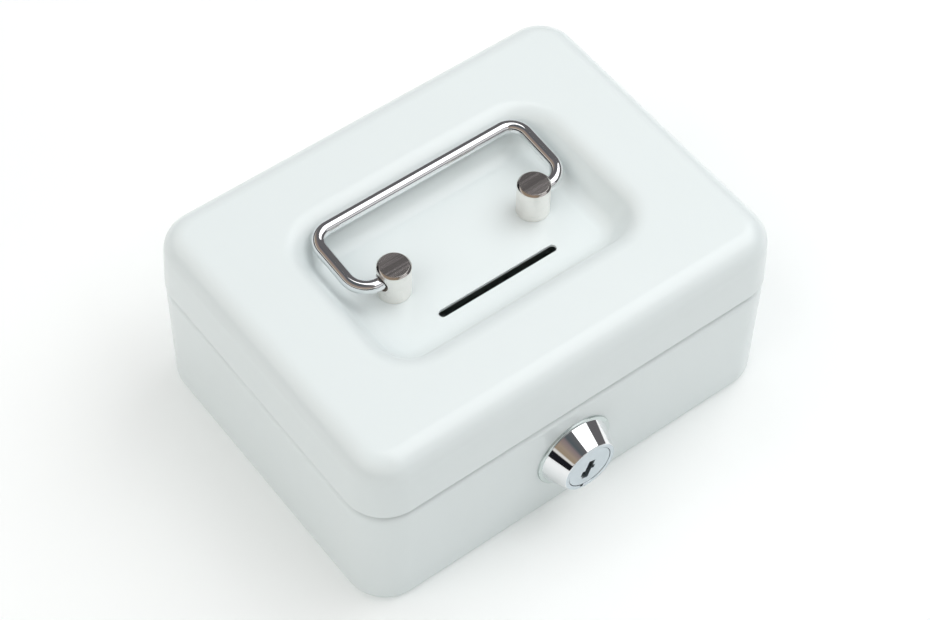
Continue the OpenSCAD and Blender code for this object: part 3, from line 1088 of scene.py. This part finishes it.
@dataclass
class Handle:
    """A wire handle that folds back into the recess, on two turned posts.

    Args:
        floor_z: Height of the recess floor.
        post_x: Half the distance between the posts.
        post_y: Distance of the posts behind the middle.
        post_r: Radius of a post.
        post_h: Height of a post.
        chamfer: Chamfer round a post's top.
        pivot_h: Height of the pivot above the recess floor.
        wire: Radius of the wire.
        half_w: Half the width of the handle, middle to middle.
        reach: Reach of the handle from its pivot.
        grip_bend: Bend radius at the grip.
        pivot_bend: Bend radius at the pivots.
        depth: How far an end reaches into its post.
        rise: Angle above level when it lies back.
        clear: Radial room round the ends.
        mouth: Radial room round the wire at the mouth of a hole.
        mouth_l: Length of the mouth.
        screw_r: Radius of the post's screw.
        screw_l: How far the screw reaches into the post.
        screw_clear: Radial room round the screw in the lid.
        screw_fit: Radial room round the screw in the post.
        end_round: Rounding of the wire's ends.
        foot_ease: Rounding of a post's foot.
        top_ease: Rounding of the chamfer's edges.
        spare: Room behind the end of the wire.
        past: How far a cutter starts beyond a post.
    """

    floor_z: float
    post_x: float = 21.2
    post_y: float = 0.8
    post_r: float = 4.25
    post_h: float = 10.0
    chamfer: float = 0.5
    pivot_h: float = 6.0
    wire: float = 1.75
    half_w: float = 31.2
    reach: float = 20.4
    grip_bend: float = 4.7
    pivot_bend: float = 5.5
    depth: float = 6.0
    rise: float = 4.0
    clear: float = 0.1
    mouth: float = 0.6
    mouth_l: float = 1.6
    screw_r: float = 2.0
    screw_l: float = 2.6
    screw_clear: float = 0.15
    screw_fit: float = 0.02
    end_round: float = 0.3
    foot_ease: float = 0.15
    top_ease: float = 0.05
    spare: float = 0.6
    past: float = 1.0

    @property
    def posts(self) -> list[Pair]:
        """Places of the two posts."""
        return [(-self.post_x, self.post_y), (self.post_x, self.post_y)]

    def at(self, x: float, out: float) -> Vector:
        """Point in the handle's leaning plane.

        Args:
            x: Place left or right of the middle.
            out: Distance out of the pivot.

        Returns:
            The point.
        """
        pivot_z = self.floor_z + self.pivot_h
        turn = radians(self.rise)
        return Vector((x, self.post_y + out * cos(turn), pivot_z + out * sin(turn)))

    def build_bail(self) -> Mesh:
        """Bends a wire by extruding and spinning a ring along the handle.

        Returns:
            The closed wire.
        """
        start = self.post_x + self.post_r - self.depth
        clear_selection()
        bpy.ops.mesh.primitive_circle_add(vertices=40, radius=self.wire, fill_type="NGON",
                                          location=self.at(start, 0), rotation=(0, pi / 2, 0))
        bail = added("handle_wire")
        outer, near = self.half_w - self.pivot_bend, self.pivot_bend
        inner, far = self.half_w - self.grip_bend, self.reach - self.grip_bend
        with editing(bail, "FACE"):
            bpy.ops.mesh.select_all(action="SELECT")
            self.draw(self.at(outer, 0) - self.at(start, 0))
            self.bend(self.at(outer, near))
            self.draw(self.at(0, far) - self.at(0, near))
            self.bend(self.at(inner, far))
            self.draw(self.at(-inner, 0) - self.at(inner, 0))
            self.bend(self.at(-inner, far))
            self.draw(self.at(0, near) - self.at(0, far))
            self.bend(self.at(-outer, near))
            self.draw(self.at(-start, 0) - self.at(-outer, 0))
        close_up(bail)
        soften(bail, self.end_round, segments=3, angle=60)
        return bail

    def draw(self, way: Vector) -> None:
        """Extrudes the wire's end straight on."""
        bpy.ops.mesh.extrude_region_move(TRANSFORM_OT_translate={"value": way})

    def bend(self, centre: Vector) -> None:
        """Spins the wire's end a quarter turn about a point of its plane."""
        plane = Vector((0, -sin(radians(self.rise)), cos(radians(self.rise))))
        bpy.ops.mesh.spin(steps=14, angle=-pi / 2, center=centre, axis=plane)

    def build_post(self, side: int) -> Mesh:
        """Turns a post, chamfers its top and drills it for the handle and its screw.

        Args:
            side: -1 for the left post, 1 for the right one.

        Returns:
            The post.
        """
        x, y, top = side * self.post_x, self.post_y, self.post_h
        r, c, foot, ease = self.post_r, self.chamfer, self.foot_ease, self.top_ease
        post = turned(
            "left_turned_post" if side < 0 else "right_turned_post",
            [(r - foot, 0), (r, foot), (r, top - c - ease), (r - 0.8 * ease, top - c),
             (r - c, top - 0.8 * ease), (r - c - 1.2 * ease, top)],
            (0, 0, 1), (x, y, self.floor_z))
        pivot_z = self.floor_z + self.pivot_h
        outside = self.post_x + r
        for name, room, start in (("pivot_cutter", self.clear, outside - self.depth - self.spare),
                                  ("mouth_cutter", self.mouth, outside - self.mouth_l)):
            combine(post, rod(name, self.wire + room, (side * start, y, pivot_z),
                              (side * (outside + self.past), y, pivot_z), 48))
        combine(post, rod("screw_cutter", self.screw_r + self.screw_fit,
                          (x, y, self.floor_z - self.past), (x, y, self.floor_z + self.screw_l), 48))
        return post

    def build(self, finishes: Finishes) -> None:
        """Makes the handle and both posts and hands them over.

        Args:
            finishes: Finishes of the box.
        """
        finish_piece(self.build_bail(), Body.HANDLE, Slot.CHROME, finishes, "handle_bail",
                     smooth=40)
        top = self.floor_z + self.post_h
        for side, node in ((-1, "left_post"), (1, "right_post")):
            post = self.build_post(side)
            lay_finishes(post, (finishes["nickel"], finishes["edge"]),
                         (1, lambda centre: centre.z > top - self.chamfer - 0.02),
                         (0, lambda centre: centre.z > top - 0.01))
            finish_piece(post, Body.LID, Slot.NICKEL, finishes, node)


# ---- Lock ----


@dataclass
class Lock:
    """A cam lock in the front wall: a chromed cone with a satin face, and a plug with a keyway.

    Places along the lock are counted inwards from the outside of the wall.

    Args:
        x: Place of the lock left or right of the middle.
        z: Height of the lock.
        wall_y: Outside of the front wall.
        roll: How far the lock is turned in the wall, in degrees.
        flange_r: Radius of the flange.
        flange_t: Thickness of the flange.
        cone_r: Radius of the cone at the flange.
        cone_l: Length of the cone.
        face_r: Radius of the lock's face.
        bore_r: Radius of the bore.
        plug_r: Radius of the plug.
        barrel_r: Radius of the barrel.
        flats: Width over the barrel's flats.
        barrel_l: Length of the barrel.
        shank: Side of the plug's square end.
        shank_end: Where the square end stops.
        keyway: Outline of the keyway across the plug.
        keyway_end: Where the keyway stops.
        keyway_ease: Rounding of the keyway's edge.
        hole_room: Room round the barrel in the wall.
        lead_in: Chamfer of the barrel's end.
        thread_start: Where the thread starts.
        thread_step: Half the pitch of the thread.
        thread_deep: Depth of the thread.
        thread_rings: Number of half turns of the thread.
        flange_ease: Rounding of the flange.
        nose_l: Rounding of the cone's end, along the lock.
        nose_w: Rounding of the cone's end, across the lock.
        nose_out: How far that rounding stands out round the face.
        mark: Half the width of the mark under the bore.
        mark_l: Depth of the mark.
        sunk: How deep the plug lies behind the face.
        plug_ease: Rounding of the plug's edge.
        shank_root: How far the square end starts inside the plug.
        beyond: How far a cutter reaches past what it cuts.
    """

    x: float = -2.6
    z: float = 19.5
    wall_y: float = -47.3
    roll: float = 20.0
    flange_r: float = 11.0
    flange_t: float = 0.55
    cone_r: float = 10.0
    cone_l: float = 6.0
    face_r: float = 7.55
    bore_r: float = 6.38
    plug_r: float = 6.3
    barrel_r: float = 8.0
    flats: float = 14.4
    barrel_l: float = 8.4
    shank: float = 7.0
    shank_end: float = 10.5
    keyway: tuple[Pair, ...] = (
        (-0.95, 2.1), (0.95, 2.1), (0.95, 0.3), (1.7, 0.3), (1.7, -0.9), (0.95, -0.9),
        (0.95, -3.9), (-0.95, -3.9), (-0.95, -3.0), (-1.7, -3.0), (-1.7, -1.3), (-0.95, -1.3))
    keyway_end: float = 5.9
    keyway_ease: float = 0.14
    hole_room: float = 0.1
    lead_in: float = 0.3
    thread_start: float = 1.0
    thread_step: float = 0.5
    thread_deep: float = 0.45
    thread_rings: int = 14
    flange_ease: float = 0.2
    nose_l: float = 0.3
    nose_w: float = 0.25
    nose_out: float = 0.1
    mark: float = 0.5
    mark_l: float = 0.6
    sunk: float = 0.1
    plug_ease: float = 0.2
    shank_root: float = 0.5
    beyond: float = 20.0

    @property
    def face(self) -> float:
        """Place of the lock's face along the lock."""
        return -self.flange_t - self.cone_l

    def seat(self, obj: Mesh) -> Mesh:
        """Moves a piece that is drawn about the origin into the wall.

        Args:
            obj: The piece.

        Returns:
            The same piece.
        """
        obj.location = (self.x, self.wall_y, self.z)
        obj.rotation_euler = (0, radians(self.roll), 0)
        place(obj)
        return obj

    def off_axis(self, point: Vector) -> float:
        """Distance of a point from the lock's axis."""
        return hypot(point.x - self.x, point.z - self.z)

    def flatten(self, obj: Mesh, half: float, start: float) -> None:
        """Files the two flats of a barrel.

        Args:
            obj: The barrel.
            half: Distance of a flat from the axis.
            start: Place along the lock where the flats start.
        """
        for side in (-1, 1):
            edges = sorted((side * half, side * (half + self.beyond)))
            combine(obj, block("flat_cutter", (edges[0], start, -self.beyond),
                               (edges[1], self.beyond, self.beyond)))

    def hole_cutter(self) -> Mesh:
        """Makes the cutter of the lock's hole in the wall.

        Returns:
            The cutter.
        """
        cutter = rod("hole_cutter", self.barrel_r + self.hole_room, (0, -1, 0), (0, 3, 0), 96)
        self.flatten(cutter, self.flats / 2 + self.hole_room, -2)
        return self.seat(cutter)

    def build_housing(self) -> Mesh:
        """Turns the flange, cone, face ring and threaded barrel in one.

        Returns:
            The housing.
        """
        face, bore, barrel, flange = self.face, self.bore_r, self.barrel_r, self.flange_r
        end, under, ease = self.barrel_l, -self.flange_t, self.flange_ease
        ring = self.face_r + self.nose_out - self.nose_w
        thread = [(barrel - (self.thread_deep if i % 2 else 0),
                   self.thread_start + self.thread_step * i) for i in range(self.thread_rings)]
        profile = [
            (bore, end), (barrel - self.lead_in, end), (barrel, end - self.lead_in),
            *reversed(thread), (barrel, 0),
            (flange, 0), (flange, under + ease), (flange - 0.3 * ease, under + 0.3 * ease),
            (flange - ease, under), (self.cone_r, under),
            *[(ring + self.nose_w * cos(a), face + self.nose_l - self.nose_l * sin(a))
              for a in map(radians, (10, 30, 50, 70, 88))],
            (bore + 0.12, face), (bore + 0.03, face + 0.04), (bore, face + 0.14), (bore, end),
        ]
        housing = turned("lock_cone", profile, (0, 1, 0), sides=128)
        self.flatten(housing, self.flats / 2, 0.02)
        combine(housing, block("notch_cutter", (-self.mark, face - 1, -bore - self.mark),
                               (self.mark, face + self.mark_l, -bore + self.mark)))
        return self.seat(housing)

    def build_plug(self) -> Mesh:
        """Turns the plug, cuts the keyway and adds the square end.

        Returns:
            The plug.
        """
        r, face, ease = self.plug_r, self.face + self.sunk, self.plug_ease
        plug = turned(
            "lock_core",
            [(r - 1.1 * ease, face), (r - 0.35 * ease, face + 0.25 * ease), (r, face + ease),
             (r, self.barrel_l)],
            (0, 1, 0), sides=128)
        half = self.shank / 2
        combine(plug, block("shank", (-half, self.barrel_l - self.shank_root, -half),
                            (half, self.shank_end, half)), "UNION")
        combine(plug, self.keyway_cutter(face - 1, self.keyway_end))
        with editing(plug, "EDGE"):
            pick(plug, "edges", lambda e: all(
                abs(v.co.y - face) < 0.01 and hypot(v.co.x, v.co.z) < r - 1 for v in e.verts))
            bpy.ops.mesh.bevel(offset=self.keyway_ease, segments=2, affect="EDGES")
        return self.seat(plug)

    def keyway_cutter(self, start: float, end: float) -> Mesh:
        """Draws the keyway's outline and extrudes it along the lock.

        Args:
            start: Where the cutter starts.
            end: Where it ends.

        Returns:
            The cutter.
        """
        clear_selection()
        bpy.ops.mesh.primitive_circle_add(vertices=len(self.keyway), location=(0, start, 0),
                                          rotation=(pi / 2, 0, 0), fill_type="NGON")
        cutter = added("keyway_cutter")
        with editing(cutter):
            for index, (x, z) in enumerate(self.keyway):
                pick(cutter, "verts", lambda v: v.index == index)
                here = bmesh.from_edit_mesh(cutter.data).verts[:][index].co
                bpy.ops.transform.translate(value=Vector((x, start, z)) - here)
            bpy.ops.mesh.select_all(action="SELECT")
            bpy.ops.mesh.extrude_region_move(
                TRANSFORM_OT_translate={"value": (0, end - start, 0)})
        close_up(cutter)
        return cutter

    def build(self, finishes: Finishes) -> None:
        """Makes the housing and the plug and hands them over.

        Args:
            finishes: Finishes of the box.
        """
        face, flange = self.wall_y + self.face, self.wall_y - self.flange_t
        housing = self.build_housing()
        lay_finishes(housing, [finishes[name] for name in ("chrome", "plug", "rim")],
                     (1, lambda centre: centre.y < face + 0.02),
                     (2, lambda centre: flange - 0.02 < centre.y < self.wall_y
                      and self.off_axis(centre) > self.cone_r))
        finish_piece(housing, Body.BOX, Slot.CHROME, finishes, "lock_housing")
        finish_piece(self.build_plug(), Body.CORE, Slot.PLUG, finishes, "lock_plug")


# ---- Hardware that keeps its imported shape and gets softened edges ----


@dataclass(frozen=True)
class Part:
    """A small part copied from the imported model.

    Args:
        node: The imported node.
        name: Name of the new piece.
        body: Body that it rides on.
        slot: Finish in the record.
        edge: Width of its softened edges, in millimetres.
    """

    node: str
    name: str
    body: Body
    slot: Slot
    edge: float = 0.12

    def build(self, finishes: Finishes) -> None:
        """Copies the node's mesh, merges it, softens its edges and hands it over.

        Args:
            finishes: Finishes of the box.
        """
        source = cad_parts[self.node]
        obj = bpy.data.objects.new(self.name, source.data.copy())
        obj.data.name = self.name
        obj.data.materials.clear()
        bpy.context.scene.collection.objects.link(obj)
        obj.scale = (1 / MM,) * 3
        place(obj)
        close_up(obj, gap=0.0005)
        with editing(obj, "FACE"):
            bpy.ops.mesh.select_all(action="SELECT")
            bpy.ops.mesh.dissolve_limited(angle_limit=radians(0.3))
        soften(obj, self.edge, angle=45)
        finish_piece(obj, self.body, self.slot, finishes, self.node)


HARDWARE = (
    Part("left_body_leaf", "left_box_leaf", Body.BOX, Slot.ZINC),
    Part("right_body_leaf", "right_box_leaf", Body.BOX, Slot.ZINC),
    Part("left_lid_leaf", "left_lid_strap", Body.LID, Slot.ZINC),
    Part("right_lid_leaf", "right_lid_strap", Body.LID, Slot.ZINC),
    Part("left_hinge_pin", "left_pin", Body.BOX, Slot.STEEL, 0.1),
    Part("right_hinge_pin", "right_pin", Body.BOX, Slot.STEEL, 0.1),
    Part("post_washers", "washers_under_posts", Body.LID, Slot.ZINC, 0.08),
    Part("post_screws", "screws_under_posts", Body.LID, Slot.ZINC, 0.15),
    Part("lock_wafers", "wafers", Body.CORE, Slot.BRASS, 0.04),
    Part("wafer_springs", "wafer_spring_row", Body.CORE, Slot.STEEL, 0.04),
    Part("lock_washer", "washer_behind_wall", Body.BOX, Slot.ZINC, 0.1),
    Part("lock_nut", "nut_behind_wall", Body.BOX, Slot.ZINC, 0.25),
    Part("stop_washer", "quarter_turn_stop", Body.CORE, Slot.ZINC, 0.08),
    Part("lock_cam", "cam", Body.CORE, Slot.ZINC, 0.12),
    Part("cam_screw", "screw_on_cam", Body.CORE, Slot.ZINC, 0.15),
    Part("lid_catch", "catch_in_lid", Body.LID, Slot.ZINC, 0.1),
)


# ---- Studio ----


@dataclass
class Lamp:
    """A soft lamp that faces a point on the box.

    Args:
        name: Name of the lamp.
        place: Where it hangs, in metres.
        size: Width and height, in metres.
        watts: Power.
        aim: The point that it faces.
        seen: Whether polished metal mirrors it.
    """

    name: str
    place: Triple
    size: Pair
    watts: float
    aim: Triple = (0, 0, 0.04)
    seen: bool = False

    def hang(self) -> None:
        """Adds the lamp, turned to its point."""
        clear_selection()
        bpy.ops.object.light_add(type="AREA", location=self.place)
        lamp = bpy.context.object
        lamp.name = self.name
        lamp.data.shape = "RECTANGLE"
        lamp.data.size, lamp.data.size_y = self.size
        lamp.data.energy = self.watts
        lamp.visible_glossy = self.seen
        way = Vector(self.aim) - Vector(self.place)
        lamp.rotation_euler = way.to_track_quat("-Z", "Y").to_euler()


@dataclass
class Studio:
    """Pale floor, soft lamps, a dim room that polished metal mirrors, and the camera.

    Args:
        lamps: The lamps.
        eye: Place of the camera, in metres.
        right: The camera's own right.
        up: The camera's own up.
        ahead: Where the camera looks.
        lens: Focal length, in millimetres.
        sensor: Sensor width, in millimetres.
        floor_half: Half the side of the floor, in metres.
        floor_colour: Colour of the floor.
        floor_glow: Colour of the floor's own faint light.
        glow_strength: Strength of that light.
        room: Colours of the room by the upward part of the direction.
        right_room: Colour of the room on the right.
        room_edge: Sideways part of the direction where the right side starts and is reached.
    """

    lamps: tuple[Lamp, ...] = (
        Lamp("lamp_over", (0.8, -0.22, 1.1), (1.4, 1.25), 9.2, (0.8, -0.22, 0.0), True),
        Lamp("lamp_front", (0.4, -1.1, 0.62), (1.1, 0.6), 1.1, seen=True),
        Lamp("fill_left", (-1.1, -0.1, 1.3), (1.5, 1.4), 10.8),
        Lamp("fill_front", (0.1, -1.1, 1.3), (1.5, 1.4), 1.6),
        Lamp("fill_right", (1.1, 0.1, 1.3), (1.5, 1.4), 7.0),
        Lamp("fill_back", (-0.1, 1.1, 1.3), (1.5, 1.4), 6.5),
    )
    eye: Triple = (-0.23036, -0.29029, 0.52229)
    right: Triple = (0.79706, -0.60366, 0.01692)
    up: Triple = (0.47687, 0.64635, 0.59567)
    ahead: Triple = (0.37052, 0.46672, -0.80305)
    lens: float = 95.6
    sensor: float = 36.0
    floor_half: float = 2.5
    floor_colour: Triple = (0.84, 0.85, 0.85)
    floor_glow: Triple = (0.88, 1, 0.98)
    glow_strength: float = 0.13
    room: tuple[tuple[float, Triple], ...] = (
        (0.32, (0.012, 0.012, 0.016)), (0.9, (0.09, 0.11, 0.12)),
        (0.37, (0.75, 0.73, 0.7)), (0.44, (0.75, 0.73, 0.7)), (0.5, (0.33, 0.26, 0.18)),
        (0.68, (0.35, 0.28, 0.22)), (0.84, (0.25, 0.2, 0.2)))
    right_room: Triple = (0.135, 0.13, 0.135)
    room_edge: Pair = (-0.3, 0.1)

    def lay_floor(self) -> None:
        """Lays a pale floor with a barely mottled surface."""
        clear_selection()
        bpy.ops.mesh.primitive_grid_add(x_subdivisions=4, y_subdivisions=4,
                                        size=2 * self.floor_half, location=(0, 0, 0))
        floor = added("studio_floor")
        board = Board("pale_floor")
        cloud = board.noise(board.coordinates(), 6.0)
        board.feed("Base Color", board.tint(cloud, self.floor_colour, 0.005))
        board.set("Roughness", 0.9)
        board.set("Emission Color", (*self.floor_glow, 1))
        board.set("Emission Strength", self.glow_strength)
        board.set("Specular IOR Level", 0.1)
        floor.data.materials.append(board.material)

    def colour_room(self) -> None:
        """Colours the room by height, and evenly on the right."""
        world = bpy.data.worlds.new("dim_room")
        bpy.context.scene.world = world
        world.use_nodes = True
        tree = world.node_tree
        where, split, ramp, side, blend = (tree.nodes.new(f"ShaderNode{kind}") for kind in (
            "TexCoord", "SeparateXYZ", "ValToRGB", "MapRange", "Mix"))
        blend.data_type = "RGBA"
        blend.inputs[7].default_value = (*self.right_room, 1)
        for socket, value in zip(("From Min", "From Max"), self.room_edge):
            side.inputs[socket].default_value = value
        for source, target in (
                (where.outputs["Generated"], split.inputs[0]),
                (split.outputs["Z"], ramp.inputs["Fac"]),
                (split.outputs["X"], side.inputs["Value"]),
                (side.outputs["Result"], blend.inputs["Factor"]),
                (ramp.outputs["Color"], blend.inputs[6]),
                (blend.outputs[2], tree.nodes["Background"].inputs["Color"])):
            tree.links.new(source, target)
        stops = ramp.color_ramp.elements
        for stop, (height, _) in zip(stops, self.room):
            stop.position = height
        for height, _ in self.room[2:]:
            stops.new(height)
        for stop, (_, colour) in zip(stops, sorted(self.room)):
            stop.color = (*colour, 1)

    def stand_camera(self) -> None:
        """Stands the camera and makes it the scene's."""
        data = bpy.data.cameras.new("camera")
        camera = bpy.data.objects.new("camera", data)
        bpy.context.scene.collection.objects.link(camera)
        columns = (Vector(self.right), Vector(self.up), -Vector(self.ahead))
        turn = Matrix([[c[i] for c in columns] for i in range(3)]).to_4x4()
        camera.matrix_world = Matrix.Translation(self.eye) @ turn
        data.lens, data.sensor_width = self.lens, self.sensor
        data.clip_start, data.clip_end = 0.01, 20
        bpy.context.scene.camera = camera

    def build(self) -> None:
        """Sets up the whole studio."""
        self.lay_floor()
        self.colour_room()
        for lamp in self.lamps:
            lamp.hang()
        self.stand_camera()
        bpy.context.scene.view_settings.view_transform = "Standard"


def main() -> None:
    """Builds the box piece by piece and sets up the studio."""
    logging.basicConfig(level=logging.INFO, format="%(name)s: %(message)s")
    finishes = Finishes()
    press, hinges = Pressing(), Hinges()
    lid, body = Lid(press, hinges), BoxBody(press, hinges)
    handle, lock = Handle(lid.floor_z), Lock()
    lid.dress(lid.build(handle.posts, handle.screw_r + handle.screw_clear), finishes)
    body.dress(body.build(lock.hole_cutter()), finishes)
    handle.build(finishes)
    lock.build(finishes)
    for part in HARDWARE:
        part.build(finishes)
    Studio().build()


if __name__ == "__main__":
    main()
